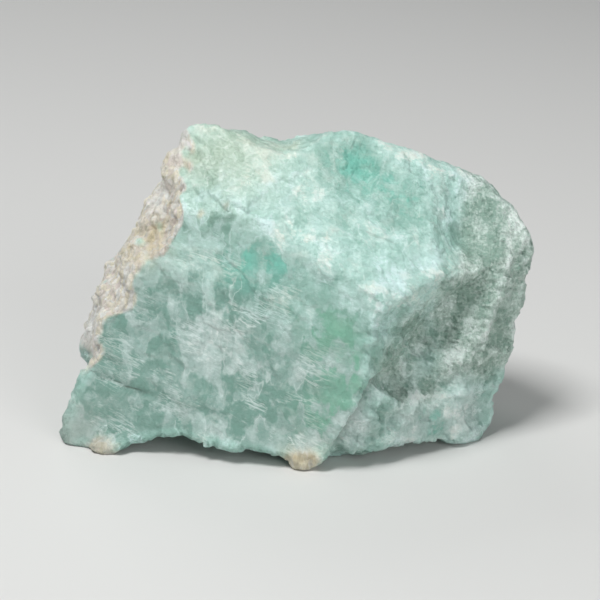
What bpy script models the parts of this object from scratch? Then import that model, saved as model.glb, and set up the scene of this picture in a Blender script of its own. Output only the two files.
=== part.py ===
"""Raw amazonite: one rough-broken lump of green feldspar, grown together with a pale grainy crust.

Axes, in millimetres until the last step: X runs along the lump's length, -Y is the side with the broad
cleavage face, +Z is up, and the floor is at Z = 0. The shape is made the way the stone was: blocks bounded
by flat breaks are joined, wedges and shell-shaped chips are taken out, the edges are worn, and the skin is
roughened.
"""

import math

import bpy
import bmesh
from mathutils import Matrix, Vector, noise

# Driving dimensions, millimetres.
MM = 0.001
SKIN_GRID = 0.75  # spacing of the points while the skin is worked
WORN_PASSES = 5  # smoothing passes that wear the edges
MOST_TRIANGLES = 8800
FLAT_EDGE = math.radians(50)  # edges sharper than this stay crisp in the shading
CLEAVAGE_AT_NUB = -24.0  # depth of the broad cleavage face at X = 0 on the floor
CLEAVAGE_TURN = -0.262  # how far the face comes forward for each millimetre to the right
CLEAVAGE_LEAN = 0.105  # how far it leans back for each millimetre up


def on_cleavage(x, z):
    """The point of the broad cleavage face at this length and height."""
    return (x, CLEAVAGE_AT_NUB + CLEAVAGE_TURN * x + CLEAVAGE_LEAN * z, z)


# The corners of each block. A block is the smallest convex body that holds its corners.
MAIN_BLOCK = [
    # the broad cleavage face, from the crust round to the nose and down to its lower edge
    on_cleavage(-41.2, 23.8),
    on_cleavage(-22.6, 50.7),
    on_cleavage(-11.8, 52.8),
    on_cleavage(5.9, 42.4),
    on_cleavage(16.8, 37.0),
    on_cleavage(14.5, 23.0),
    on_cleavage(7.0, 6.0),
    on_cleavage(-4.7, 3.1),
    on_cleavage(-24.6, 4.2),
    on_cleavage(-38.0, 5.2),
    # the nose, and the crest from left to right
    (27.7, -17.0, 39.5),
    (-21.8, -1.0, 67.2),
    (9.0, 0.0, 66.0),
    (15.0, 1.0, 62.7),
    (27.3, 3.0, 57.2),
    (38.0, 6.0, 54.0),
    (45.4, 1.0, 48.8),
    (48.4, -2.0, 40.9),
    # the right end, down to the floor
    (45.5, -5.0, 27.9),
    (42.4, -5.5, 15.5),
    (41.0, -6.5, 8.3),
    (37.0, -7.5, 0.0),
    # the outer edge of the crust, from its top to the spur under it
    (-28.5, 5.0, 52.0),
    (-40.4, 6.0, 31.5),
    (-47.0, 6.0, 21.5),
    (-47.9, 4.0, 15.6),
    # the back
    (-38.0, 20.0, 30.0),
    (-20.0, 27.0, 44.0),
    (12.0, 29.0, 47.0),
    (34.0, 22.0, 42.0),
    (40.0, 20.0, 22.0),
    (24.0, 30.0, 14.0),
    (-12.0, 31.0, 16.0),
    (-34.0, 22.0, 12.0),
    # the base, which is cut off level with the floor
    (-34.0, 6.0, -1.5),
    (-27.0, 18.0, -1.5),
    (-6.0, 24.0, -1.5),
    (22.0, 22.0, -1.5),
    (36.0, 4.0, -1.5),
    (30.0, -6.0, -1.5),
    (6.0, -14.0, -1.5),
]
FOOT_BLOCK = [
    on_cleavage(-46.0, 17.0),
    on_cleavage(-52.0, 2.6),
    on_cleavage(-50.8, -0.5),
    on_cleavage(-41.0, -0.5),
    on_cleavage(-38.0, 4.0),
    on_cleavage(-20.0, 6.0),
    on_cleavage(-20.0, 30.0),
    on_cleavage(-38.0, 26.0),
    (-44.0, -2.0, -0.5),
    (-36.0, 8.0, -0.5),
    (-36.0, 8.0, 16.0),
]
NUB_BLOCK = [
    (-3.4, -23.0, 4.0),
    (7.5, -24.6, 6.0),
    (-1.4, -23.8, -1.0),
    (1.2, -23.4, -1.0),
    (0.0, -20.0, -1.0),
    (-3.5, -14.0, 3.0),
    (8.0, -14.0, 4.0),
    (2.0, -20.0, 12.0),
]
FOOT_LUMP_BLOCK = [
    (-43.8, -14.0, -0.8),
    (-43.4, -15.0, 1.6),
    (-40.6, -16.4, -0.8),
    (-39.4, -16.6, 1.4),
    (-36.0, -15.9, 2.2),
    (-35.4, -15.6, 0.6),
    (-41.6, -14.6, 4.6),
    (-38.0, -15.0, 4.4),
    (-43.0, -8.0, -0.8),
    (-36.0, -9.0, 2.0),
]
LEDGE_BLOCK = [
    (14.5, -22.2, 5.0),
    (22.7, -19.2, 12.3),
    (28.7, -15.7, 13.9),
    (34.2, -11.5, 13.6),
    (38.2, -7.7, 10.8),
    (41.6, -4.6, 7.8),
    (41.4, -5.0, 3.4),
    (37.9, -8.5, -0.5),
    (31.4, -12.5, 1.5),
    (20.5, -18.9, 3.8),
    (30.0, 4.0, 13.0),
    (18.0, 0.0, 8.0),
    (30.0, 0.0, -0.5),
]

# Wedges broken out of the blocks, each the convex body of its corners.
HOLLOW_WEDGE = [
    # the bottom of the valley under the nose, from the shoulder down to the ledge
    (39.8, -6.8, 39.4),
    (33.5, -7.4, 33.5),
    (28.0, -8.6, 28.5),
    (23.5, -11.2, 23.5),
    (18.0, -15.6, 13.4),
    # outside the nose and the right edge of the cleavage face
    (10.0, -31.4, 37.2),
    (28.7, -20.5, 41.6),
    (12.4, -30.0, 26.7),
    # outside the shoulder, the right-hand swell and the bulge below the valley
    (41.8, -9.2, 38.4),
    (39.5, -10.5, 31.0),
    (38.5, -11.5, 22.0),
    (34.5, -14.5, 16.5),
    (23.8, -24.0, 11.5),
]
NOTCH_WEDGE = [
    # the dip in the crest, gentle on its left and steep on its right
    (-17.0, -12.0, 66.4),
    (-17.0, 14.0, 66.4),
    (-3.8, -12.0, 61.3),
    (-3.8, 14.0, 61.3),
    (0.2, -12.0, 63.6),
    (0.2, 14.0, 63.6),
    (9.5, -12.0, 65.6),
    (9.5, 14.0, 65.6),
    (9.5, -12.0, 72.0),
    (9.5, 14.0, 72.0),
    (-17.0, -12.0, 72.0),
    (-17.0, 14.0, 72.0),
]
BACK_WEDGE = [
    # the slab that came off the right half of the back and left a step
    (-2.0, 27.5, 40.0),
    (13.0, 25.0, -3.0),
    (48.0, 16.0, 38.0),
    (48.0, 15.0, -3.0),
    (-6.0, 45.0, 42.0),
    (9.0, 45.0, -3.0),
    (48.0, 45.0, 46.0),
    (48.0, 45.0, -3.0),
]

# Shell-shaped chips, by the two ends of the scar, its width, its depth and the way it faces.
CHIPS = {
    "shoulder_dish": ((31.0, 0.0, 53.5), (32.5, -13.5, 37.5), 13.0, 1.2, (0.58, -0.6, 0.55)),
    "valley_head": ((31.0, -12.4, 40.5), (39.5, -8.8, 40.0), 7.0, 1.1, (0.45, -0.75, 0.5)),
    "lower_groove": ((35.5, -12.2, 18.0), (24.4, -19.2, 11.4), 3.6, 1.8, (0.6, -0.8, 0.3)),
    "green_shell": ((4.0, -6.5, 59.2), (25.0, -8.6, 52.4), 14.0, 1.8, (0.3, -0.55, 0.77)),
    "arch": ((-44.0, -6.0, -2.0), (0.0, -17.0, -2.0), 26.0, 7.0, (0.0, 0.0, -1.0)),
    "right_arch": ((6.0, -19.0, -2.0), (36.0, -7.0, -2.0), 12.0, 5.0, (0.0, 0.0, -1.0)),
    "back_shell": ((-38.0, 20.5, 38.0), (-2.0, 31.0, 16.0), 28.0, 2.3, (-0.3, 1.0, 0.1)),
    "back_bite": ((8.0, 25.0, 50.0), (44.0, 16.0, 38.0), 20.0, 2.8, (0.3, 0.8, 0.4)),
}
CAP = 3.0  # a scar is the cap of an ellipsoid whose half depth is this many times the scar's depth

# Relief of the skin: the size of its swells and grains, and how far they stand out.
SWELL_SIZE, SWELL_RISE = 14.0, 0.7
LUMP_SIZE, LUMP_RISE = 5.0, 0.32
LUMP_START = Vector((40.0, 7.0, 3.0))  # where the lumps' noise starts, so that they differ from the swells
CRUST_LUMP_SIZE, CRUST_LUMP_RISE = 7.0, 1.6
CRUST_GRAIN_SIZE, CRUST_GRAIN_RISE = 2.4, 0.5

# Where the crust is: on skin that looks this way, above the spur, up to an uneven edge.
CRUST_FACING = Vector((-0.93, -0.3, 0.2))
CRUST_LEAST, CRUST_FADE = 0.72, 0.15  # it starts at this much of CRUST_FACING and is full this much further on
SPUR_TOP, SPUR_FADE = 17.0, 4.0
EDGE_SIZE, EDGE_SHIFT = 4.0, 0.3


def clear_scene():
    for old in list(bpy.data.objects):
        bpy.data.objects.remove(old, do_unlink=True)


def object_of(name, shape):
    """A new object that holds the bmesh's faces."""
    mesh = bpy.data.meshes.new(name)
    shape.to_mesh(mesh)
    shape.free()
    made = bpy.data.objects.new(name, mesh)
    bpy.context.scene.collection.objects.link(made)
    return made


def block(name, corners):
    """The convex block that the corners bound."""
    shape = bmesh.new()
    for corner in corners:
        shape.verts.new(corner)
    found = bmesh.ops.convex_hull(shape, input=shape.verts)
    inner = [v for v in found["geom_interior"] if isinstance(v, bmesh.types.BMVert)]
    bmesh.ops.delete(shape, geom=inner, context="VERTS")
    bmesh.ops.recalc_face_normals(shape, faces=shape.faces)
    return object_of(name, shape)


def chip(name, start, end, width, depth, facing):
    """The ellipsoid whose cap leaves a scar of this width and depth from start to end."""
    start, end = Vector(start), Vector(end)
    along = (end - start).normalized()
    outward = Vector(facing)
    outward = (outward - outward.dot(along) * along).normalized()
    across = outward.cross(along)
    turn = Matrix((along, across, outward)).transposed().to_4x4()
    rim = math.sqrt(1.0 - ((CAP - 1.0) / CAP) ** 2)  # the scar's half width as a share of the ellipsoid's
    half = Vector(((end - start).length / 2 / rim, width / 2 / rim, depth * CAP))
    middle = (start + end) / 2 + outward * depth * (CAP - 1.0)
    shape = bmesh.new()
    bmesh.ops.create_icosphere(shape, subdivisions=5, radius=1.0)
    place = Matrix.Translation(middle) @ turn @ Matrix.Diagonal(half).to_4x4()
    bmesh.ops.transform(shape, matrix=place, verts=shape.verts)
    return object_of(name, shape)


def bake(body):
    """Applies the body's modifiers to its mesh."""
    graph = bpy.context.evaluated_depsgraph_get()
    baked = bpy.data.meshes.new_from_object(body.evaluated_get(graph))
    body.modifiers.clear()
    body.data = baked


def combine(body, other, operation):
    """Joins or cuts the body with the other object for good, and removes the other."""
    cut = body.modifiers.new(operation.title(), "BOOLEAN")
    cut.operation = operation
    cut.object = other
    bake(body)
    bpy.data.objects.remove(other, do_unlink=True)


def wear(body):
    """Gives the skin an even grid of points and rounds its edges."""
    grid = body.modifiers.new("Skin grid", "REMESH")
    grid.mode = "VOXEL"
    grid.voxel_size = SKIN_GRID
    grid.adaptivity = 0.0
    worn = body.modifiers.new("Worn edges", "SMOOTH")
    worn.iterations = WORN_PASSES
    bake(body)


def swell(place, size):
    """Rolling noise from -1 to 1 whose hills are about size across."""
    return noise.fractal(place / size, 1.0, 2.0, 3)


def crustiness(place, normal):
    """1 on the crusted left side, 0 on the rest, with an uneven edge."""
    facing = (normal.dot(CRUST_FACING) - CRUST_LEAST) / CRUST_FADE
    above_spur = (place.z - SPUR_TOP) / SPUR_FADE
    shift = EDGE_SHIFT * swell(place, EDGE_SIZE)
    return max(0.0, min(1.0, min(facing, above_spur) + shift))


def roughen(body):
    """Moves each point of the skin along its normal by the relief there."""
    shape = bmesh.new()
    shape.from_mesh(body.data)
    shape.normal_update()
    moved = []
    for point in shape.verts:
        place, normal = point.co, point.normal
        rise = SWELL_RISE * swell(place, SWELL_SIZE)
        rise += LUMP_RISE * swell(place + LUMP_START, LUMP_SIZE)
        crust = crustiness(place, normal)
        if crust:
            nearest = noise.voronoi(place / CRUST_GRAIN_SIZE)[0][0]
            rise += crust * CRUST_GRAIN_RISE * (1.0 - 2.0 * nearest)
            rise += crust * CRUST_LUMP_RISE * swell(place, CRUST_LUMP_SIZE)
        moved.append(place + rise * normal)
    for point, place in zip(shape.verts, moved):
        point.co = place
    shape.to_mesh(body.data)
    shape.free()


def thin(body):
    """Leaves at most MOST_TRIANGLES triangles, the smallest where the skin turns most."""
    count = sum(len(face.vertices) - 2 for face in body.data.polygons)
    fewer = body.modifiers.new("Fewer faces", "DECIMATE")
    fewer.ratio = MOST_TRIANGLES / count
    fewer.use_collapse_triangulate = True
    bake(body)


def stand(body):
    """Cuts the body off level with the floor."""
    shape = bmesh.new()
    shape.from_mesh(body.data)
    everything = shape.verts[:] + shape.edges[:] + shape.faces[:]
    cut = bmesh.ops.bisect_plane(
        shape, geom=everything, plane_co=(0, 0, 0), plane_no=(0, 0, 1), clear_inner=True
    )
    rim = [edge for edge in cut["geom_cut"] if isinstance(edge, bmesh.types.BMEdge)]
    bmesh.ops.holes_fill(shape, edges=rim)
    bmesh.ops.triangulate(shape, faces=shape.faces)
    shape.to_mesh(body.data)
    shape.free()


def to_metres(body):
    """Scales the body to metres with the middle of its footprint's box at the origin."""
    corners = [Vector(corner) for corner in body.bound_box]
    low = Vector(min(c[axis] for c in corners) for axis in range(3))
    high = Vector(max(c[axis] for c in corners) for axis in range(3))
    middle = Vector(((low.x + high.x) / 2, (low.y + high.y) / 2, low.z))
    body.data.transform(Matrix.Scale(MM, 4) @ Matrix.Translation(-middle))
    body.data.update()


def feldspar():
    """The pale blue-green stone with a dull pearly break."""
    material = bpy.data.materials.new("amazonite")
    material.use_nodes = True
    shader = material.node_tree.nodes["Principled BSDF"]
    shader.inputs["Base Color"].default_value = (0.36, 0.60, 0.50, 1.0)
    shader.inputs["Roughness"].default_value = 0.5
    shader.inputs["Metallic"].default_value = 0.0
    return material


def main():
    clear_scene()
    stone = block("amazonite", MAIN_BLOCK)
    for name, corners in (("foot", FOOT_BLOCK), ("lump", FOOT_LUMP_BLOCK), ("nub", NUB_BLOCK)):
        combine(stone, block(name, corners), "UNION")
    for name, corners in (("hollow", HOLLOW_WEDGE), ("notch", NOTCH_WEDGE), ("slab", BACK_WEDGE)):
        combine(stone, block(name, corners), "DIFFERENCE")
    combine(stone, block("ledge", LEDGE_BLOCK), "UNION")
    for name, (start, end, width, depth, facing) in CHIPS.items():
        combine(stone, chip(name, start, end, width, depth, facing), "DIFFERENCE")
    wear(stone)
    roughen(stone)
    thin(stone)
    stand(stone)
    to_metres(stone)
    stone.data.shade_smooth()
    stone.data.set_sharp_from_angle(angle=FLAT_EDGE)
    stone.data.materials.append(feldspar())


if __name__ == "__main__":
    main()
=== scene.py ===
"""Looks of the raw amazonite: its skin, the grain of its crust, its colours, the floor, light and camera.

Lengths are in millimetres until a piece is finished. The skin is one closed sheet drawn tight over the
solid and then given the fine relief of broken feldspar. Its regions (crust, green windows, milky cloud,
stain and so on) are worked out for each point of the sheet and kept on it as attributes, which the finish
reads.
"""
import math

import bmesh
import bpy
import numpy as np
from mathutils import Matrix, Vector


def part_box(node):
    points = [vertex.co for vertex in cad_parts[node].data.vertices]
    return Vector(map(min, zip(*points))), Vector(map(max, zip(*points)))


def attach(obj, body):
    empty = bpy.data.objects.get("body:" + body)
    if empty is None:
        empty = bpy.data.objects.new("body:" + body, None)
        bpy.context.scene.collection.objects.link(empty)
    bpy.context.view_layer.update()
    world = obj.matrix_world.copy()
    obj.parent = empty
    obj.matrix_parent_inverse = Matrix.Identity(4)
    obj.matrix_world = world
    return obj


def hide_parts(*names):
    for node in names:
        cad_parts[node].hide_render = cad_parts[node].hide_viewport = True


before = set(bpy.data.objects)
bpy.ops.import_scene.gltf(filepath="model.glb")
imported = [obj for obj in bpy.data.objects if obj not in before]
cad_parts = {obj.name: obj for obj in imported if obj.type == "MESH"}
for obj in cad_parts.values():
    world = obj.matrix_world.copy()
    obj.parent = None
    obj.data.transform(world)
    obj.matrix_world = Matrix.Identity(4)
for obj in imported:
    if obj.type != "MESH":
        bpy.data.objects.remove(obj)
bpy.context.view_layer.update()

NODE = "amazonite"
MM = 0.001


def unit(vector):
    return np.asarray(vector, float) / np.linalg.norm(vector)


def laid_in(face, vector):
    """The direction nearest to the vector that lies in the face."""
    vector = unit(vector)
    return unit(vector - face * vector.dot(face))


# ---------------------------------------------------------------------------------------------------------
# The stone's own directions and places, millimetres.

CLEAVAGE = unit((-0.25, -0.96, 0.10))  # faces out of the broad cleavage face
STREAK = laid_in(CLEAVAGE, (0.90, -0.27, -0.34))  # the way the milky streaks run, down to the right
SECOND_CLEAVAGE = np.cross(CLEAVAGE, STREAK)  # at right angles to the first, facing mostly up
CLEAVED_TOP = 33.0  # how far along the second cleavage the broad face's upper edge lies
TOP_FRINGE = 11.0  # how far below that edge the upper face's brightness fades out
CRUST_FACING = unit((-0.93, -0.3, 0.2))  # faces out of the crusted side
CRUST_GRAIN_RUN = unit((0.42, -0.12, 0.90))  # the crust's striations climb along its length
RIGHT, BACK, UP = np.eye(3)


# ---------------------------------------------------------------------------------------------------------
# Noise on whole arrays of places.

DRAW_COUNT = 4096
draws = np.random.default_rng(7)
SHUFFLE = draws.permutation(DRAW_COUNT)
ARROWS = draws.normal(size=(DRAW_COUNT, 3))
ARROWS /= np.linalg.norm(ARROWS, axis=1, keepdims=True)
SPOTS = draws.random((DRAW_COUNT, 3))


def shuffled(cells, seed):
    """A draw number for each lattice cell: its three whole numbers pass through one shuffle in turn."""
    drawn = SHUFFLE[(cells[:, 0] + seed * 131) % DRAW_COUNT]
    drawn = SHUFFLE[(cells[:, 1] + drawn) % DRAW_COUNT]
    return SHUFFLE[(cells[:, 2] + drawn) % DRAW_COUNT]


def smooth_step(low, high, value):
    """0 below low, 1 above high, and 3t^2 - 2t^3 of the way t between them."""
    t = np.clip((value - low) / (high - low), 0.0, 1.0)
    return t * t * (3.0 - 2.0 * t)


def waves(places, seed=0):
    """Gradient noise, about -0.7 to 0.7: each corner of a place's unit cell has a slope of its own, and the
    eight slopes are blended by 6t^5 - 15t^4 + 10t^3 along each side."""
    cells = np.floor(places).astype(int)
    inside = places - cells
    ease = inside**3 * (inside * (inside * 6.0 - 15.0) + 10.0)
    total = np.zeros(len(places))
    for corner in np.ndindex(2, 2, 2):
        slope = ARROWS[shuffled(cells + corner, seed)]
        share = np.where(corner, ease, 1.0 - ease).prod(axis=1)
        total += share * np.einsum("ij,ij->i", slope, inside - corner)
    return total


def hills(places, size, seed=0, octaves=4, keep=0.5):
    """Rolling noise, about -1 to 1: octaves of waves, each half the size of the last and keep times its
    height."""
    total, height, reach = 0.0, 1.0, 0.0
    for octave in range(octaves):
        total = total + height * waves(places * (2.0**octave / size), seed + octave)
        reach += height
        height *= keep
    return total / reach * 1.8


def ridges(places, size, seed=0, octaves=3):
    """Creased noise, 0 to 1 with thin crests at 1: octaves of one minus the height of waves either way."""
    total, height, reach = 0.0, 1.0, 0.0
    for octave in range(octaves):
        crest = 1.0 - np.abs(waves(places * (2.0**octave / size), seed + octave)) * 2.2
        total = total + height * np.clip(crest, 0.0, 1.0) ** 2
        reach += height
        height *= 0.5
    return total / reach


def grains(places, seed=0):
    """Grains a unit across, one round a spot in each cell: the distances to the nearest and second nearest
    spots, and the nearest one's own draw from 0 to 1 and own lean, the way past it along its own arrow."""
    cells = np.floor(places).astype(int)
    first = np.full(len(places), 9.0)
    second = first.copy()
    own, lean = np.zeros(len(places)), np.zeros(len(places))
    for step in np.ndindex(3, 3, 3):
        cell = cells + np.array(step) - 1
        drawn = shuffled(cell, seed)
        past = places - cell - SPOTS[drawn]
        apart = np.linalg.norm(past, axis=1)
        nearer = apart < first
        second = np.where(nearer, first, np.minimum(second, apart))
        own = np.where(nearer, drawn / DRAW_COUNT, own)
        lean = np.where(nearer, np.einsum("ij,ij->i", past, ARROWS[drawn]), lean)
        first = np.minimum(first, apart)
    return first, second, own, lean


def wandered(places, size, shift, seed):
    """The places pushed about by hills of this size, up to shift millimetres along each axis."""
    pushes = [hills(places, size, seed + 7 * axis, octaves=3) for axis in range(3)]
    return places + shift * np.stack(pushes, axis=1)


def stretched(places, along, ratio):
    """The places squeezed along one direction, so that a pattern drawn on them runs ratio times as long."""
    reach = places @ along
    return places - np.outer(reach * (1.0 - 1.0 / ratio), along)


# ---------------------------------------------------------------------------------------------------------
# The sheet of skin, drawn tight over the solid.

SHEET_CELLS = np.array((174, 98, 117))  # cells along X, Y and Z of the box that the sheet starts as
BALL_RADIUS = 90.0  # the sheet is blown up to a ball outside the solid before it is drawn in
EVENING_ROUNDS = 4  # times that the sheet is evened out and laid back on the solid
EVENING_STEPS = 5  # smoothing steps in each of them
ROUNDING_LEVELS = 2  # subdivisions that round the solid's facets
JOIN = 0.002  # loose triangles' corners closer than this are one corner


def wall_lattice(fixed, at, cells):
    """One wall of a box: two whole-number parameters run along its sides, and the fixed coordinate stays
    at one value."""
    one, two = (fixed + 1) % 3, (fixed + 2) % 3
    along_one, along_two = np.meshgrid(np.arange(cells[one] + 1), np.arange(cells[two] + 1), indexing="ij")
    lattice = np.empty(along_one.shape + (3,), int)
    lattice[..., one], lattice[..., two], lattice[..., fixed] = along_one, along_two, at
    return lattice


def box_sheet(cells):
    """A box's six walls as one closed sheet of quads: points at one place of the lattice are one point."""
    lattices, quads, first = [], [], 0
    for fixed in range(3):
        for at in (0, cells[fixed]):
            lattice = wall_lattice(fixed, at, cells)
            number = first + np.arange(lattice[..., 0].size).reshape(lattice.shape[:2])
            ring = [number[:-1, :-1], number[1:, :-1], number[1:, 1:], number[:-1, 1:]]
            if at == 0:
                ring.reverse()  # so that the low wall faces outwards too
            quads.append(np.stack(ring, axis=-1).reshape(-1, 4))
            lattices.append(lattice.reshape(-1, 3))
            first += number.size
    places, same = np.unique(np.concatenate(lattices), axis=0, return_inverse=True)
    return places, same.reshape(-1)[np.concatenate(quads)]


def ball_sheet(low, high):
    """The box sheet blown up to a ball: tangents of even angles along each side, stretched to the solid's
    proportions so that its points lie evenly there, and put at one distance from its middle."""
    lattice, quads = box_sheet(SHEET_CELLS)
    away = np.tan((lattice / SHEET_CELLS * 2.0 - 1.0) * math.pi / 4.0)
    away /= np.linalg.norm(away, axis=1, keepdims=True)
    away *= (high - low) / 2.0
    away /= np.linalg.norm(away, axis=1, keepdims=True)
    return (low + high) / 2.0 + BALL_RADIUS * away, quads


def new_piece(name, points, faces):
    """A mesh object from points in millimetres and faces."""
    mesh = bpy.data.meshes.new(name)
    mesh.from_pydata((points * MM).tolist(), [], faces.tolist())
    piece = bpy.data.objects.new(name, mesh)
    bpy.context.scene.collection.objects.link(piece)
    return piece


def settled(piece):
    """Applies the piece's modifiers to its mesh."""
    graph = bpy.context.evaluated_depsgraph_get()
    mesh = bpy.data.meshes.new_from_object(piece.evaluated_get(graph))
    piece.modifiers.clear()
    piece.data = mesh


def rounded_form():
    """A copy of the solid with its triangles joined and its facets rounded, to lay the sheet on."""
    shape = bmesh.new()
    shape.from_mesh(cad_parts[NODE].data)
    bmesh.ops.remove_doubles(shape, verts=shape.verts, dist=JOIN * MM)
    mesh = bpy.data.meshes.new("form")
    shape.to_mesh(mesh)
    shape.free()
    form = bpy.data.objects.new("form", mesh)
    bpy.context.scene.collection.objects.link(form)
    rounding = form.modifiers.new("Rounded facets", "SUBSURF")
    rounding.levels = rounding.render_levels = ROUNDING_LEVELS
    settled(form)
    return form


def lay_on(sheet, form, method):
    """Adds the modifier that brings the sheet's points to the form."""
    laying = sheet.modifiers.new("Lay on", "SHRINKWRAP")
    laying.target = form
    laying.wrap_method = method
    laying.use_negative_direction = True
    laying.use_positive_direction = False


def drawn_skin():
    """The ball sheet, let down onto the solid along its radii and then evened out on it."""
    low, high = (np.array(corner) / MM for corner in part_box(NODE))
    skin = new_piece("amazonite_skin", *ball_sheet(low, high))
    form = rounded_form()
    lay_on(skin, form, "PROJECT")
    for _ in range(EVENING_ROUNDS):
        evening = skin.modifiers.new("Even out", "SMOOTH")
        evening.iterations = EVENING_STEPS
        lay_on(skin, form, "NEAREST_SURFACEPOINT")
    settled(skin)
    bpy.data.objects.remove(form, do_unlink=True)
    return skin


def point_rows(collection, field):
    """Three numbers for each item of a mesh collection, as rows of an array."""
    rows = np.empty(len(collection) * 3)
    collection.foreach_get(field, rows)
    return rows.reshape(-1, 3)


class Neighbours:
    """Which points of a sheet are joined by an edge."""

    def __init__(self, mesh):
        ends = np.empty(len(mesh.edges) * 2, int)
        mesh.edges.foreach_get("vertices", ends)
        ends = ends.reshape(-1, 2)
        self.here = np.concatenate((ends[:, 0], ends[:, 1]))
        self.there = np.concatenate((ends[:, 1], ends[:, 0]))
        self.count = np.bincount(self.here, minlength=len(mesh.vertices))

    def mean(self, values):
        """The mean of each point's neighbours."""
        columns = np.atleast_2d(values.T)
        sums = [np.bincount(self.here, column[self.there], len(self.count)) for column in columns]
        return np.squeeze(np.array(sums) / self.count).T

    def calmed(self, values, rounds):
        """The values after each point has moved halfway to its neighbours' mean, round after round."""
        for _ in range(rounds):
            values = (values + self.mean(values)) / 2.0
        return values


# ---------------------------------------------------------------------------------------------------------
# The regions of the skin. A soft spot is a place on it and how far the spot reaches.

# Clear green windows, and two spots of painted shade in the hollow under the bulge.
WINDOWS_AND_HOLLOW_SHADE = [
    # in the upper face
    ((12.6, -6.2, 58.1), 7.0),
    ((16.5, -8.0, 55.0), 6.0),
    ((21.5, -8.2, 54.7), 5.0),
    ((28.0, -9.5, 48.2), 3.6),
    ((2.2, -16.6, 52.0), 3.2),
    ((10.1, -17.0, 49.5), 3.6),
    # along the broad face's upper edge
    ((-10.4, -19.5, 42.5), 3.6),
    ((-3.0, -21.2, 43.4), 3.4),
    # in the broad face, from right to left
    ((6.8, -25.7, 30.6), 4.0),
    ((8.5, -27.0, 18.0), 3.6),
    ((-2.7, -24.3, 15.7), 3.6),
    ((-11.8, -21.5, 17.5), 3.8),
    ((-13.4, -21.6, 12.8), 3.6),
    ((-18.5, -20.2, 15.0), 4.5),
    ((-22.5, -17.0, 33.0), 4.6),
    ((-27.0, -16.0, 35.5), 4.5),
    ((-27.0, -17.0, 24.0), 4.0),
    ((-29.5, -15.3, 31.5), 5.0),
    ((-29.0, -17.5, 8.0), 4.5),
    ((-30.0, -17.0, 14.0), 5.0),
    ((-35.5, -14.4, 26.3), 4.0),
    ((-37.0, -15.2, 19.0), 6.0),
    ((-38.0, -15.3, 11.5), 6.5),
    # in the right-hand end and its ledge
    ((35.2, -6.9, 44.0), 4.0),
    ((36.0, -8.5, 39.5), 3.2),
    ((42.4, -5.1, 33.1), 2.2),
    # painted shade: the next two darken the hollow under the bulge to clear green
    ((22.0, -19.1, 13.8), 3.2),
    ((28.0, -18.4, 14.0), 3.4),
    ((28.6, -18.1, 7.8), 3.2),
]
MILK_CLOUDS = [
    # on the upper face
    ((-22.7, -16.0, 43.3), 6.0),
    ((-3.1, -14.0, 56.2), 9.0),
    ((-6.0, -19.0, 49.7), 6.5),
    ((0.9, -21.0, 46.9), 6.0),
    ((8.8, -19.6, 47.2), 7.0),
    ((22.3, -3.3, 59.5), 6.0),
    ((30.6, -3.7, 53.7), 5.0),
    ((29.6, -8.0, 48.8), 5.0),
    # on the nose and the edge that runs up to it
    ((21.1, -23.0, 39.3), 8.0),
    ((25.5, -20.0, 38.5), 6.0),
    ((27.0, -18.5, 41.0), 6.5),
    ((3.6, -23.1, 41.0), 4.6),
    ((10.6, -25.8, 36.8), 4.2),
    ((15.7, -27.3, 34.6), 4.8),
    # on the broad face
    ((3.6, -24.6, 32.5), 3.2),
    ((-16.8, -18.9, 24.5), 4.5),
    ((10.9, -26.7, 6.9), 3.5),
    ((13.5, -26.5, 10.5), 4.5),
    # on the ledge and the bulge above it
    ((22.5, -20.0, 8.5), 5.0),
    ((30.0, -17.0, 10.0), 8.0),
    ((34.0, -15.0, 7.5), 6.0),
    ((30.7, -14.3, 21.9), 3.6),
]
OCHRE_STAINS = [
    ((-29.0, -9.5, 44.8), 6.0),
    ((-24.0, -4.0, 57.0), 5.0),
    ((-2.5, -3.6, 62.7), 2.6),
    ((1.5, -26.0, 2.4), 4.0),
]
TOP_TINT = [
    ((-13.0, -8.0, 62.0), 12.0),  # the warm yellow-green end of the upper face
]
VIVID_SPOTS = [
    ((11.0, -6.2, 58.1), 9.0),
    ((19.0, -8.2, 54.8), 9.0),
    ((24.0, -9.0, 52.0), 6.0),
    ((-3.0, -21.2, 43.4), 4.6),
    ((-10.4, -19.5, 43.0), 5.0),
    ((9.0, -20.0, 46.0), 5.0),
    ((28.9, -18.4, 8.0), 4.0),
]
GLASSY_SPOTS = [
    ((6.8, -25.7, 30.6), 8.0),
    ((11.3, -26.3, 24.0), 8.0),
    ((8.5, -27.5, 13.0), 7.0),
]
CRYSTAL_SPOTS = [
    ((-44.0, -2.0, 21.5), 7.5),
    ((-28.0, -4.0, 52.0), 4.0),
    ((-22.5, -3.0, 62.0), 4.0),
]
GREY_FOOT = [
    ((-47.0, -13.0, 3.0), 6.5),
]
PATCHES = {
    "window": WINDOWS_AND_HOLLOW_SHADE,
    "cloud": MILK_CLOUDS,
    "stain": OCHRE_STAINS,
    "warm": TOP_TINT,
    "vivid": VIVID_SPOTS,
    "glassy": GLASSY_SPOTS,
    "crystals": CRYSTAL_SPOTS,
    "grey": GREY_FOOT,
}
CREAM_NUBS = [
    ((1.8, -26.2, 1.4), 4.3),
    ((-40.6, -18.0, 0.8), 3.6),
]
LEDGE_SPOTS = [
    ((12.0, -26.0, 10.0), 7.0),
    ((24.0, -19.0, 9.0), 8.0),
    ((35.0, -14.0, 8.0), 8.0),
]
VALLEY_SPOTS = [
    ((34.5, -9.0, 34.0), 4.5),
    ((30.5, -11.0, 29.5), 5.0),
    ((25.5, -14.5, 25.5), 5.0),
    ((21.0, -18.5, 19.0), 5.0),
    ((23.5, -17.5, 28.5), 4.5),
    ((20.0, -21.5, 23.0), 4.0),
    # painted shade: the last two make the hollow under the bulge broken stone, dark where its milk is low
    ((22.0, -19.1, 14.0), 3.2),
    ((28.0, -18.3, 14.3), 3.2),
]
CRUST_LAP = [
    ((-34.5, -13.4, 33.5), 3.8),  # where the crust laps onto the broad face
]

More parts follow.
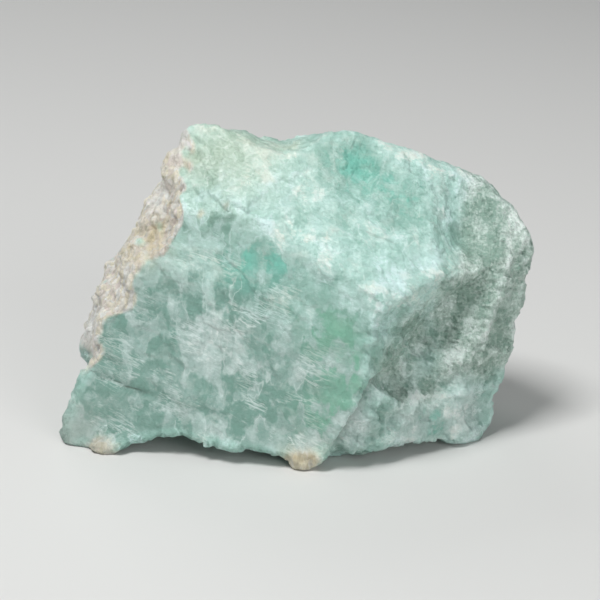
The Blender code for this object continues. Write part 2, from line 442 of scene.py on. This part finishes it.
# Hollows broken into the right-hand end and the crusted side, and a swell (of negative depth): where each
# is, its reach and its depth.
DENTS = [
    ((35.2, -7.0, 44.0), 3.0, 1.9),
    ((36.0, -10.6, 33.6), 3.0, 0.7),
    ((32.5, -11.0, 30.5), 3.0, 0.9),
    ((29.9, -12.3, 26.5), 3.0, 0.9),
    ((25.8, -14.0, 22.8), 2.8, 0.8),
    ((20.2, -18.5, 16.6), 3.0, 2.0),
    ((29.8, -15.4, 20.0), 4.0, -1.5),
    ((28.6, -17.4, 14.2), 3.0, 2.8),
    ((33.0, -15.5, 15.8), 2.4, 1.4),
    ((41.0, -10.9, 35.9), 1.1, 0.6),
    ((-44.5, -8.0, 15.0), 2.5, 0.8),
]

# Cracks, steps and ridges: where each starts and ends on the skin, the way the skin faces there, how deep
# it is (a ridge's depth is negative), and how far it spreads on its low side.
CRACKS = [
    ((-43.0, -13.2, 16.9), (-31.5, -16.9, 13.4), CLEAVAGE, 0.55, 0.6),
    ((-37.0, -13.8, 28.0), (-30.5, -15.0, 36.0), CLEAVAGE, 0.25, 1.0),
    # the step below the broad face's right edge: deep enough that the finish also paints shade along it
    ((17.4, -25.5, 21.5), (8.3, -27.7, 6.0), CLEAVAGE, 1.7, 1.7),
    ((14.5, -17.3, 48.2), (19.5, -17.0, 45.5), (0.2, -0.7, 0.7), 0.25, 0.6),
    ((-14.0, -21.0, 33.0), (-6.0, -22.0, 20.0), CLEAVAGE, 0.18, 2.0),
    ((42.6, -6.5, 41.0), (39.5, -10.5, 30.0), (0.5, -0.85, 0.0), -0.55, 1.3),
    ((39.5, -10.5, 30.0), (37.6, -13.2, 18.0), (0.5, -0.85, 0.0), -0.45, 1.3),
    ((22.5, -20.0, 13.2), (40.5, -10.8, 11.4), (0.3, -0.85, 0.4), -0.5, 1.1),
    ((44.5, -4.2, 46.0), (37.5, -8.5, 40.0), (0.3, -0.8, 0.5), -0.35, 1.2),
]
CRACK_WIDTH = 0.45
CRACK_WANDER = 0.5  # how far a crack strays from a straight line
CRACK_REACH = 5.0  # how far off its face a crack can be followed
NO_CRACK = 50.0  # the distance where no crack is near

# Where regions begin and end. Each pair is where a soft step starts and where it is complete.
BROKEN_FROM = 26.5  # X of the broken end's border, low down
BROKEN_SHIFT = 5.0  # how much further right the border lies high up
BROKEN_SHIFT_HEIGHTS = (36.0, 43.0)  # the heights between which it moves over
BROKEN_FADE = (0.0, 5.5)  # past the border, to the right
LEDGE_HEIGHTS = (13.0, 18.0)  # the broken end starts above its ledge
SPUR_HEIGHTS = (15.0, 19.0)  # the crust starts above the spur at the stone's left foot
CRUST_LIKENESS = (0.66, 0.76)  # a likeness is the cosine between the skin's facing and a direction
CLEAVED_LIKENESS = (0.93, 0.985)
GREYED_LIKENESS = (0.88, 0.985)
UPWARD_LIKENESS = (0.1, 0.75)
NUB_SHARES = (0.25, 0.6)  # of the nubs' soft spots
WORN_HEIGHTS = (0.10, 0.45)  # how far an edge stands out of the skin around it
BROAD_ROUNDS = 12  # rounds of calming that even out the skin's small faces
SOFT_ROUNDS = 60  # and its large ones


def soft_spots(points, spots):
    """The highest of the spots' bells, each e to the minus square of the distance over its reach."""
    bells = [np.exp(-(((points - place) ** 2).sum(axis=1)) / reach**2) for place, reach in spots]
    return np.max(bells, axis=0)


def crack_distance(points):
    """Millimetres across to the nearest crack, growing past its ends and away from its face, and how deep
    the skin lies for it: its depth times e to the minus square of the distance over its width or spread."""
    nearest = np.full(len(points), NO_CRACK)
    sunk = np.zeros(len(points))
    for number, (start, end, facing, deepest, spread) in enumerate(CRACKS):
        run = np.subtract(end, start)
        length = np.linalg.norm(run)
        along = (points - start) @ run / length
        side = unit(np.cross(run, facing))
        wander = CRACK_WANDER * hills(points, 4.0, seed=60 + number, octaves=3)
        across = (points - start) @ side + wander
        past = np.maximum(np.maximum(-along, along - length), 0.0)
        off_face = np.maximum(np.abs((points - start) @ unit(facing)) - CRACK_REACH, 0.0)
        stray = past * 0.5 + off_face
        width = np.where(across < 0.0, spread, CRACK_WIDTH)
        sunk += deepest * np.exp(-((across / width) ** 2) - stray**2)
        nearest = np.minimum(nearest, np.abs(across) + stray)
    return nearest, sunk


def broken_side(points):
    """1 on the right-hand end above its ledge, and down the valley, where the stone broke across the grain;
    also in the hollow under the bulge, where its dark speckle is painted shade."""
    x, _, z = points.T
    ragged = 2.5 * hills(points, 8.0, seed=47, octaves=5)
    border = BROKEN_FROM + BROKEN_SHIFT * smooth_step(*BROKEN_SHIFT_HEIGHTS, z)
    end = smooth_step(*BROKEN_FADE, x - border + ragged) * smooth_step(*LEDGE_HEIGHTS, z + ragged)
    return np.maximum(end, soft_spots(points, VALLEY_SPOTS))


def calmed_facing(normals, neighbours, rounds):
    """The way the skin faces once its roughness is evened out."""
    facing = neighbours.calmed(normals, rounds)
    return facing / np.linalg.norm(facing, axis=1, keepdims=True)


def skin_regions(points, normals, neighbours):
    """How far each point belongs to each region of the skin, from 0 to 1. Two are in millimetres: the
    distance to the nearest crack, and how deep the skin lies for it."""
    broad_facing = calmed_facing(normals, neighbours, BROAD_ROUNDS)
    soft_facing = calmed_facing(broad_facing, neighbours, SOFT_ROUNDS)
    fringe = hills(stretched(points, UP, 3.0), 1.6, seed=45)
    strayed = wandered(points, 7.0, 1.6, seed=40)
    region = {name: soft_spots(strayed, spots) for name, spots in PATCHES.items()}
    region["nub"] = smooth_step(*NUB_SHARES, soft_spots(strayed, CREAM_NUBS))
    region["broken"] = broken_side(strayed)
    region["crack"], region["sunk"] = crack_distance(points)

    crust_edge = broad_facing @ CRUST_FACING + 0.09 * hills(points, 5.0, seed=3, octaves=5)
    crust_edge += 0.16 * soft_spots(points, CRUST_LAP)
    above_spur = smooth_step(*SPUR_HEIGHTS, points[:, 2] + 1.5 * hills(points, 5.0, seed=5))
    region["crust"] = smooth_step(*CRUST_LIKENESS, crust_edge) * above_spur

    under_top = smooth_step(CLEAVED_TOP - TOP_FRINGE, CLEAVED_TOP, points @ SECOND_CLEAVAGE + 2.0 * fringe)
    greyed = smooth_step(*GREYED_LIKENESS, soft_facing @ CLEAVAGE) * (1.0 - 0.8 * under_top)
    region["greyed"] = np.maximum(greyed, soft_spots(strayed, LEDGE_SPOTS))
    region["cleaved"] = smooth_step(*CLEAVED_LIKENESS, broad_facing @ CLEAVAGE)
    region["upward"] = smooth_step(*UPWARD_LIKENESS, soft_facing[:, 2] + 0.12 * fringe)

    standing_out = ((points - neighbours.calmed(points, SOFT_ROUNDS)) * broad_facing).sum(axis=1)
    region["worn"] = smooth_step(*WORN_HEIGHTS, standing_out)
    return region


# ---------------------------------------------------------------------------------------------------------
# The relief of the skin, millimetres along its normals.

SWELL_HEIGHT = 0.42
CREASE_HEIGHT = 0.36
RIPPLE_HEIGHT = 0.12
FLAKE_SCARS = (  # each round's size across, step up or down, tilt, and seed
    (8.0, 0.6, 0.45, 110),
    (3.4, 0.62, 0.50, 130),
    (1.6, 0.30, 0.30, 150),
)
CRUST_LATHS = ((1.3, 0.55, 70), (0.8, 0.3, 74))  # each round's size across, height and seed
NUB_GRAINS = ((1.9, 0.7, 80), (0.9, 0.6, 81))  # each round's size across, height and seed
LATH_LENGTH = 2.8  # how many times as long as wide the laths are
BASE_HEIGHT = 1.5  # the relief fades out below this, so that the level base keeps its face


def flakes(points, size, seed):
    """What is left where flakes broke off, a little longer along the streaks: each scar has its own level,
    -0.5 to 0.5, and its own lean in units of the size. Also 1 on the lines where scars meet, 0 inside."""
    laid = stretched(wandered(points, size, 0.22 * size, seed), STREAK, 1.7)
    first, second, own, lean = grains(laid / size, seed)
    return own - 0.5, lean, 1.0 - smooth_step(0.03, 0.2, second - first)


def crust_relief(points):
    """Laths of the crust: grains drawn out along its run, each standing at a height of its own and falling
    off towards its edges, on lumps. Also 1 in the gaps between them."""
    laid = stretched(wandered(points, 3.0, 0.4, seed=68), CRUST_GRAIN_RUN, LATH_LENGTH)
    rise = 0.6 * hills(points, 6.0, seed=72) + 0.5 * (ridges(points, 3.4, seed=76) - 0.4)
    gap = 0.0
    widest = CRUST_LATHS[0][0]
    for size, height, seed in CRUST_LATHS:
        first, second, own, lean = grains(laid / size, seed)
        between = 1.0 - smooth_step(0.0, 0.25, second - first)
        rise += height * ((0.9 * (own - 0.4) + 0.7 * lean) * (1.0 - between) + 0.4 * (0.5 - first))
        gap = np.maximum(gap, between * size / widest)
    return rise, gap


def skin_relief(points, region):
    """The rise of each point: swells, creases, ripples and flake scars on the green stone, laths on the
    crust, grains on the nubs, hollows and cracks. Also how bruised the stone is along its scars' edges,
    the scars' own tones and the crust's gaps."""
    crust = region["crust"]
    rough = 1.0 - np.maximum(0.8 * region["cleaved"], 0.35 * region["upward"])
    stepped = 1.0 - np.maximum(0.65 * region["cleaved"], 0.4 * region["upward"])
    rise = SWELL_HEIGHT * rough * hills(points, 8.0, seed=11)
    rise += CREASE_HEIGHT * rough * (ridges(points, 4.6, seed=23) - 0.5)
    rise += RIPPLE_HEIGHT * hills(points, 2.4, seed=31, octaves=2)
    bruise, tone = 0.0, 0.0
    for size, step, tilt, seed in FLAKE_SCARS:
        level, lean, edge = flakes(points, size, seed)
        rise += step * stepped * level + tilt * rough * lean
        bruise = np.maximum(bruise, edge * (0.5 + size / 16.0))
        tone = tone + level * size / 10.0
    crust_rise, gap = crust_relief(points)
    rise = rise * (1.0 - crust) + crust * crust_rise
    for size, height, seed in NUB_GRAINS:
        rise += height * region["nub"] * (0.55 - grains(points / size, seed)[0])
    for place, reach, depth in DENTS:
        rise -= depth * soft_spots(wandered(points, 3.0, 0.6, seed=85), [(place, reach)])
    return rise - region["sunk"], {"bruise": bruise, "tone": tone, "gap": gap * crust}


def relieved(skin):
    """Gives the skin its regions as attributes, and its relief. No point goes below the floor."""
    mesh = skin.data
    points = point_rows(mesh.vertices, "co") / MM
    normals = point_rows(mesh.vertex_normals, "vector")
    neighbours = Neighbours(mesh)
    region = skin_regions(points, normals, neighbours)
    standing = smooth_step(0.0, BASE_HEIGHT, points[:, 2])
    rise, marks = skin_relief(points, region)
    points += normals * (rise * standing)[:, None]
    points[:, 2] = np.maximum(points[:, 2], 0.0)
    mesh.vertices.foreach_set("co", (points * MM).ravel())
    for name, share in (region | marks).items():
        mesh.attributes.new(name, "FLOAT", "POINT").data.foreach_set("value", share)
    mesh.shade_smooth()
    mesh.update()


# ---------------------------------------------------------------------------------------------------------
# Shader maths as Python expressions.


class Value:
    """A number that varies over a surface. Arithmetic on it adds the Math nodes that work it out."""

    def __init__(self, finish, socket):
        self.finish = finish
        self.socket = socket

    def math(self, operation, *numbers):
        node = self.finish.node("ShaderNodeMath", {"operation": operation}, *numbers)
        return Value(self.finish, node.outputs[0])

    def __add__(self, other):
        return self.math("ADD", self, other)

    def __radd__(self, other):
        return self.math("ADD", other, self)

    def __sub__(self, other):
        return self.math("SUBTRACT", self, other)

    def __rsub__(self, other):
        return self.math("SUBTRACT", other, self)

    def __mul__(self, other):
        return self.math("MULTIPLY", self, other)

    def __rmul__(self, other):
        return self.math("MULTIPLY", other, self)

    def __truediv__(self, other):
        return self.math("DIVIDE", self, other)

    def __rtruediv__(self, other):
        return self.math("DIVIDE", other, self)

    def __abs__(self):
        return self.math("ABSOLUTE", self)

    def most(self, other):
        return self.math("MAXIMUM", self, other)

    def least(self, other):
        return self.math("MINIMUM", self, other)

    def eased(self, low, high):
        """0 below low, 1 above high, with a smooth step between."""
        node = self.finish.node(
            "ShaderNodeMapRange", {"interpolation_type": "SMOOTHSTEP"}, self, low, high, 0.0, 1.0
        )
        return Value(self.finish, node.outputs["Result"])


class Finish:
    """A material in the making, with one method for every node."""

    MIX_SHARE, MIX_ONE, MIX_OTHER, MIX_RESULT = 0, 6, 7, 2  # a Mix node's sockets for colours

    def __init__(self, name):
        self.material = bpy.data.materials.new(name)
        self.material.use_nodes = True
        self.tree = self.material.node_tree
        self.shader = self.tree.nodes["Principled BSDF"]
        self.place = self.vector("SCALE", self.node("ShaderNodeTexCoord").outputs["Object"], Scale=1.0 / MM)

    def node(self, kind, settings=None, *inputs, **named):
        """A new node: its settings first, then its sockets in order or by name, each a value or a link."""
        node = self.tree.nodes.new(kind)
        for setting, choice in (settings or {}).items():
            setattr(node, setting, choice)
        for key, given in list(enumerate(inputs)) + list(named.items()):
            self.feed(node.inputs[key], given)
        return node

    def feed(self, socket, given):
        if isinstance(given, Value):
            given = given.socket
        if isinstance(given, bpy.types.NodeSocket):
            self.tree.links.new(given, socket)
        elif given is not None:
            socket.default_value = given

    def vector(self, operation, *inputs, **named):
        return self.node("ShaderNodeVectorMath", {"operation": operation}, *inputs, **named).outputs[0]

    def reach(self, direction):
        """How far the place lies along a direction, millimetres."""
        node = self.node("ShaderNodeVectorMath", {"operation": "DOT_PRODUCT"}, self.place, tuple(direction))
        return Value(self, node.outputs["Value"])

    def run(self, along, across, out, ratio):
        """The place measured along three directions at right angles, and squeezed ratio times along the
        first."""
        sides = [self.reach(along) / ratio, self.reach(across), self.reach(out)]
        return self.node("ShaderNodeCombineXYZ", None, *sides).outputs[0]

    def noise(self, place, size, detail=4.0, roughness=0.55):
        """Cloudy noise, about 0.3 to 0.7, with waves of this size and finer."""
        look = {"Scale": 1.0 / size, "Detail": detail, "Roughness": roughness}
        node = self.node("ShaderNodeTexNoise", None, Vector=place, **look)
        return Value(self, node.outputs["Fac"])

    def cells(self, place, size):
        """Cells of this size, each with a colour of its own drawn at random."""
        return self.node("ShaderNodeTexVoronoi", None, Vector=place, Scale=1.0 / size)

    def facets(self, place, size):
        """Little faces, each leaning its own way: how far the place is past its cell's middle along the
        cell's own direction, in cell sizes."""
        cell = self.cells(place, size)
        past = self.vector("SUBTRACT", place, cell.outputs["Position"])
        lean = self.vector("SUBTRACT", cell.outputs["Color"], (0.5, 0.5, 0.5))
        dot = self.node("ShaderNodeVectorMath", {"operation": "DOT_PRODUCT"}, past, lean)
        return Value(self, dot.outputs["Value"]) / size

    def flake_tone(self, place, size):
        """A tone, -0.5 to 0.5, for each flake that shows through the skin, the same all over the flake."""
        drawn = self.node("ShaderNodeSeparateColor", None, self.cells(place, size).outputs["Color"])
        return Value(self, drawn.outputs[0]) - 0.5

    def warped(self, place, size, shift):
        """The place pushed about by noise of this size, shift millimetres either way."""
        push = self.node("ShaderNodeTexNoise", None, Vector=place, Scale=1.0 / size, Detail=3.0)
        centred = self.vector("SUBTRACT", push.outputs["Color"], (0.5, 0.5, 0.5))
        return self.vector("ADD", place, self.vector("SCALE", centred, Scale=2.0 * shift))

    def region(self, name):
        node = self.node("ShaderNodeAttribute", {"attribute_name": name})
        return Value(self, node.outputs["Fac"])

    def mixed(self, share, one, other):
        """One colour turning to the other as share goes from 0 to 1."""
        node = self.node("ShaderNodeMix", {"data_type": "RGBA"})
        for place, given in ((self.MIX_SHARE, share), (self.MIX_ONE, one), (self.MIX_OTHER, other)):
            self.feed(node.inputs[place], given)
        return node.outputs[self.MIX_RESULT]


def seen(red, green, blue):
    """A colour as it is seen, 0 to 255, in the light's own scale: a straight line for the darkest and the
    power 2.4 above it, as the sRGB curve has it."""
    shares = np.array((red, green, blue)) / 255.0
    scene = np.where(shares <= 0.04045, shares / 12.92, ((shares + 0.055) / 1.055) ** 2.4)
    return (*scene.tolist(), 1.0)


# Colours of the green stone, from its clearest to its whitest, and of its warm end and its foot.
WINDOW_GREEN = seen(122, 160, 148)
GLASSY_GREEN = seen(127, 182, 158)
VIVID_GREEN = seen(122, 194, 177)
SEA_GREEN = seen(153, 193, 181)
SEA_GREY = seen(161, 184, 178)
PALE_MINT = seen(182, 217, 208)
PALE_GREY = seen(193, 209, 205)
MILK_BLUE = seen(212, 238, 236)
MILK_CREAM = seen(223, 235, 226)
STREAK_WHITE = seen(222, 232, 229)
WARM_GREEN = seen(182, 196, 173)
FOOT_GREY = seen(160, 173, 166)

# Colours of the broken end.
BROKEN_DARK = seen(142, 168, 154)
BROKEN_MIDDLE = seen(188, 205, 195)
BROKEN_PALE = seen(230, 242, 236)

# Colours of the crust and the nubs.
CREAM = seen(244, 238, 218)
TAN = seen(228, 214, 184)
ROSE_WHITE = seen(236, 226, 218)
GREY_WHITE = seen(240, 240, 236)
CRUST_GREY = seen(168, 170, 160)
CRYSTAL_WHITE = seen(245, 247, 245)
NUB_CREAM = seen(184, 181, 158)
GAP_BROWN = seen(142, 136, 118)

# Colours of stains, and of cracks, whose brown also paints shade along the deepest grooves.
OCHRE = seen(206, 186, 134)
CRACK_AND_SHADE_BROWN = seen(84, 92, 80)


# How milky the stone is where nothing changes it, and the shares of milk where its colour turns.
MILK_LEVEL = 0.40
CLEAR_TO_MIDDLE = (-0.05, 0.40)
MIDDLE_TO_PALE = (0.28, 0.76)
PALE_TO_WHITE = (0.66, 1.02)


def milk_lines(finish, warped, clearness, grain):
    """Thin white lines, 0 to 1: threads along the streaks, rims round the windows, and bruised edges."""
    straight = finish.warped(finish.run(STREAK, SECOND_CLEAVAGE, CLEAVAGE, 6.0), 6.0, 0.5)
    thread = (1.0 - abs(finish.noise(straight, 1.6, detail=2.0) - 0.5) * 22.0).most(0.0)
    thread = thread.most(0.7 - abs(finish.noise(straight, 0.7, detail=2.0) - 0.5) * 12.0)
    streaky = finish.noise(warped, 8.0, detail=5.0).eased(0.50, 0.58)
    thread = 0.8 * thread * streaky * (1.0 - 0.6 * finish.region("upward"))

    rim = (1.0 - abs(clearness - 0.515) * 45.0).most(0.0)
    rim = 0.5 * rim * finish.noise(finish.place, 5.0, detail=3.0).eased(0.47, 0.56)
    bruise = 0.4 * finish.region("bruise") * finish.noise(warped, 3.0, detail=4.0).eased(0.46, 0.62)
    lines = thread.most(rim).most(bruise) * (0.5 + grain)
    return lines * (1.0 - 0.8 * finish.region("glassy")) * (1.0 - 0.5 * finish.region("window"))


def milkiness(finish, warped):
    """How milky the green stone is, 0 in its clearest windows and 1 in solid white, and its thin white
    lines.

    Soft patches taller than they are wide with clearer windows in them, crisp clouds made of fine feathers,
    the flakes' own tones and the regions of the skin add up."""
    streak_run = finish.run(STREAK, SECOND_CLEAVAGE, CLEAVAGE, 3.2)
    upright = finish.warped(finish.run(UP, RIGHT, BACK, 1.7), 4.0, 1.0)
    curled = finish.warped(finish.warped(finish.place, 9.0, 2.5), 2.5, 0.9)
    broad = finish.noise(warped, 15.0, detail=2.0)
    patch = finish.noise(upright, 4.6, detail=3.5, roughness=0.5)
    cloud = finish.noise(curled, 6.5, detail=7.0, roughness=0.62)
    feather = finish.noise(finish.warped(streak_run, 3.5, 0.9), 0.42, detail=5.0, roughness=0.7)
    grain = finish.noise(finish.place, 0.55, detail=4.0, roughness=0.7)
    flaked = finish.flake_tone(upright, 3.4) + 0.7 * finish.flake_tone(upright, 1.5)

    cloudy = finish.region("cloud")
    window = finish.region("window")
    upward = finish.region("upward")
    clearness = patch + 0.17 * window - 0.12 * cloudy
    white = (cloud + 0.05 * cloudy - 0.06 * window).eased(0.49, 0.60)
    feathered = 0.55 + 0.6 * feather.eased(0.36, 0.66)

    milk = MILK_LEVEL + 0.6 * (broad - 0.5) + 0.5 * (patch - 0.5) + 0.16 * (grain - 0.5)
    milk = milk + 0.2 * finish.region("tone") + 0.16 * flaked
    milk = milk - (0.37 - 0.14 * upward) * clearness.eased(0.51, 0.60) + 0.34 * (white - 0.35) * feathered
    milk = milk + 0.22 * cloudy * feathered + 0.23 * upward * (1.0 - 0.5 * window)
    milk = milk + 0.14 * finish.region("worn") - 0.5 * finish.region("sunk").least(0.0)
    return milk, milk_lines(finish, warped, clearness, grain)


def broken_stone(finish, milk):
    """The speckled stone where it broke across the grain, paler where it is milkier."""
    speckle = finish.noise(finish.place, 0.9, detail=6.0, roughness=0.75)
    speckle = speckle + 0.45 * (milk - 0.42 - 0.28 * finish.region("upward"))
    across = finish.mixed(speckle.eased(0.34, 0.50), BROKEN_DARK, BROKEN_MIDDLE)
    return finish.mixed(speckle.eased(0.52, 0.66), across, BROKEN_PALE)


def green_stone(finish, warped):
    """The feldspar: green where it is clear, pale where it is milky, greyer on the broad cleavage face and
    speckled where it broke across the grain. Its clear green and dark speckle in the hollow under the bulge
    are painted shade."""
    milk, lines = milkiness(finish, warped)
    greyed = finish.region("greyed") * 0.8
    clearest = finish.mixed(finish.region("glassy"), WINDOW_GREEN, GLASSY_GREEN)
    clearest = finish.mixed(finish.region("vivid"), clearest, VIVID_GREEN)
    middle = finish.mixed(greyed, SEA_GREEN, SEA_GREY)
    pale = finish.mixed(greyed, PALE_MINT, PALE_GREY)
    creamy = finish.noise(warped, 11.0, detail=3.0).eased(0.42, 0.58)
    white = finish.mixed(greyed, finish.mixed(creamy, MILK_BLUE, MILK_CREAM), STREAK_WHITE)

    green = finish.mixed(milk.eased(*CLEAR_TO_MIDDLE), clearest, middle)
    green = finish.mixed(milk.eased(*MIDDLE_TO_PALE), green, pale)
    green = finish.mixed(milk.eased(*PALE_TO_WHITE), green, white)
    green = finish.mixed(finish.region("warm") * 0.65, green, WARM_GREEN)
    green = finish.mixed(lines, green, white)
    green = finish.mixed(finish.region("grey") * 0.7, green, FOOT_GREY)
    return finish.mixed(finish.region("broken") * 0.8, green, broken_stone(finish, milk))


def crust_stone(finish, warped, grain_place):
    """The crust's grains, each with a tint of its own, tanned, greyed and specked in places, brown in the
    gaps, creamier on the nubs and whiter where crystals grew."""
    grain = finish.cells(grain_place, 0.8)
    tint = finish.node("ShaderNodeSeparateColor", None, grain.outputs["Color"])
    one, two = Value(finish, tint.outputs[0]), Value(finish, tint.outputs[1])
    pale = finish.mixed(one.eased(0.2, 0.8), CREAM, GREY_WHITE)
    pale = finish.mixed(two.eased(0.7, 1.0), pale, ROSE_WHITE)
    tanned = finish.noise(warped, 5.0, detail=6.0, roughness=0.65).eased(0.5, 0.68)
    pale = finish.mixed(tanned * 0.5, pale, TAN)
    greyed = finish.noise(warped, 3.0, detail=6.0, roughness=0.7).eased(0.52, 0.66)
    pale = finish.mixed(greyed * 0.5, pale, CRUST_GREY)
    specks = finish.noise(grain_place, 0.35, detail=3.0, roughness=0.7).eased(0.54, 0.66)
    pale = finish.mixed(specks * 0.35, pale, GAP_BROWN)
    pale = finish.mixed(finish.region("nub") * (0.35 + 0.5 * two), pale, NUB_CREAM)
    pale = finish.mixed(finish.region("crystals") * 0.85, pale, CRYSTAL_WHITE)
    return finish.mixed(finish.region("gap") * 0.3, pale, GAP_BROWN)


FELDSPAR_IOR = 1.53
SCATTER_SHARE = 0.22
SCATTER_DEPTH = 1.6  # how far light goes under the skin, millimetres
SCATTER_COLOUR = (0.8, 1.0, 0.9)  # the shares of that depth for red, green and blue
BUMP_STRENGTH = 0.9
BUMP_HEIGHT = 1.0  # millimetres for a height of 1


def weathered_and_shaded(finish, warped, stone):
    """The stone with its ochre stains and brown in its cracks, and with painted shade in the same brown
    along its deepest grooves.
    """
    stained = finish.region("stain") * (0.35 + finish.noise(warped, 5.0).eased(0.4, 0.65))
    stone = finish.mixed(stained.least(1.0) * 0.42, stone, OCHRE)
    line = 1.0 - finish.region("crack").eased(0.05, 0.42)
    sunk = finish.region("sunk")
    # thin crack lines are dark cracks; where the skin lies 0.7 to 1.7 millimetres down, at the step, the
    # brown is painted shade
    crack_line_and_shade = (line * sunk.eased(0.0, 0.6)).most(0.55 * sunk.eased(0.7, 1.7))
    return finish.mixed(crack_line_and_shade * 0.6, stone, CRACK_AND_SHADE_BROWN)


def stone_finish():
    """Green feldspar with milky streaks and clouds, its grainy crust, its stains and its cracks. Its finest
    relief is grit and little leaning faces, rougher on the broken end and smoother on the cleaved face."""
    finish = Finish("amazonite_stone")
    crust = finish.region("crust").most(finish.region("nub"))
    warped = finish.warped(finish.place, 6.0, 1.6)
    grain_place = finish.warped(finish.run(CRUST_GRAIN_RUN, CLEAVAGE, CRUST_FACING, 3.0), 2.0, 0.4)
    stone = finish.mixed(crust, green_stone(finish, warped), crust_stone(finish, warped, grain_place))

    grit = finish.noise(finish.place, 1.3, detail=8.0, roughness=0.66)
    glints = finish.facets(finish.warped(finish.place, 1.5, 0.25), 0.8)
    small_glints = finish.facets(finish.place, 0.35)
    laths = finish.facets(grain_place, 0.7)
    smoother = finish.region("cleaved").most(0.8 * finish.region("upward"))
    rough = 0.50 - 0.28 * smoother + 0.40 * finish.region("broken")
    height = rough * (0.8 * grit + glints + 0.5 * small_glints) + crust * (0.7 * laths + 0.5 * grit)
    bump = finish.node(
        "ShaderNodeBump", None, Strength=BUMP_STRENGTH, Distance=BUMP_HEIGHT * MM, Height=height
    )
    dullness = 0.22 + 0.30 * grit + 0.25 * crust - 0.07 * finish.region("broken")

    sockets = finish.shader.inputs
    finish.feed(sockets["Base Color"], weathered_and_shaded(finish, warped, stone))
    finish.feed(sockets["Normal"], bump.outputs[0])
    finish.feed(sockets["Roughness"], dullness)
    sockets["IOR"].default_value = FELDSPAR_IOR
    sockets["Subsurface Weight"].default_value = SCATTER_SHARE
    sockets["Subsurface Radius"].default_value = SCATTER_COLOUR
    sockets["Subsurface Scale"].default_value = SCATTER_DEPTH * MM
    return finish.material


# ---------------------------------------------------------------------------------------------------------
# The floor, the light and the camera.

CAMERA_TARGET = Vector((1.23, -2.69, 28.51)) * MM
CAMERA_DISTANCE = 350.0 * MM
CAMERA_ELEVATION = math.radians(20.0)
CLIP_START = 10.0 * MM
LENS = 100.0
SENSOR_WIDTH = 36.0
FLOOR_SIZE = 4.0  # metres
FLOOR_COLOUR = seen(214, 214, 212)
FLOOR_ROUGHNESS = 0.9
ROOM_COLOUR = (0.90, 0.93, 0.95, 1.0)
ROOM_STRENGTH = 0.18
LIGHTS = (  # each light's name, place and width in metres, and power in watts
    ("key", (-0.24, -0.28, 0.86), 0.30, 6.8),  # high up, a little to the left and in front
    ("front", (0.55, -0.80, 0.34), 0.60, 3.9),  # in front, to the right
    ("back", (-0.35, 0.75, 0.65), 0.60, 1.8),  # behind, to the left
)


def stage():
    """A plain pale floor."""
    corners = np.array([(-1, -1), (1, -1), (1, 1), (-1, 1)]) * FLOOR_SIZE / 2 / MM
    floor = new_piece("floor", np.pad(corners, ((0, 0), (0, 1))), np.arange(4)[None, :])
    plain = bpy.data.materials.new("floor_paper")
    plain.use_nodes = True
    sockets = plain.node_tree.nodes["Principled BSDF"].inputs
    sockets["Base Color"].default_value = FLOOR_COLOUR
    sockets["Roughness"].default_value = FLOOR_ROUGHNESS
    floor.data.materials.append(plain)


def soft_light(name, place, size, power):
    """A square white soft light, turned to the stone."""
    light = bpy.data.lights.new(name, "AREA")
    light.size, light.energy = size, power
    lamp = bpy.data.objects.new(name, light)
    lamp.location = place
    lamp.rotation_euler = (CAMERA_TARGET - Vector(place)).to_track_quat("-Z", "Y").to_euler()
    bpy.context.scene.collection.objects.link(lamp)


def studio():
    """The soft lights in a pale room, and colours shown as they are."""
    for name, place, size, power in LIGHTS:
        soft_light(name, place, size, power)
    room = bpy.data.worlds.new("room")
    room.use_nodes = True
    sockets = room.node_tree.nodes["Background"].inputs
    sockets["Color"].default_value = ROOM_COLOUR
    sockets["Strength"].default_value = ROOM_STRENGTH
    bpy.context.scene.world = room
    bpy.context.scene.view_settings.view_transform = "Standard"


def camera():
    """Looks down at the broad face from straight in front."""
    lens = bpy.data.cameras.new("camera")
    lens.lens, lens.sensor_width, lens.clip_start = LENS, SENSOR_WIDTH, CLIP_START
    eye = bpy.data.objects.new("camera", lens)
    back = Vector((0.0, -math.cos(CAMERA_ELEVATION), math.sin(CAMERA_ELEVATION)))
    eye.location = CAMERA_TARGET + back * CAMERA_DISTANCE
    eye.rotation_euler = (math.pi / 2 - CAMERA_ELEVATION, 0.0, 0.0)
    bpy.context.scene.collection.objects.link(eye)
    bpy.context.scene.camera = eye


def dress_stone():
    """The finished skin in place of the plain solid."""
    skin = drawn_skin()
    relieved(skin)
    skin.data.materials.clear()
    skin.data.materials.append(stone_finish())
    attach(skin, "root")
    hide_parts(NODE)


dress_stone()
stage()
studio()
camera()
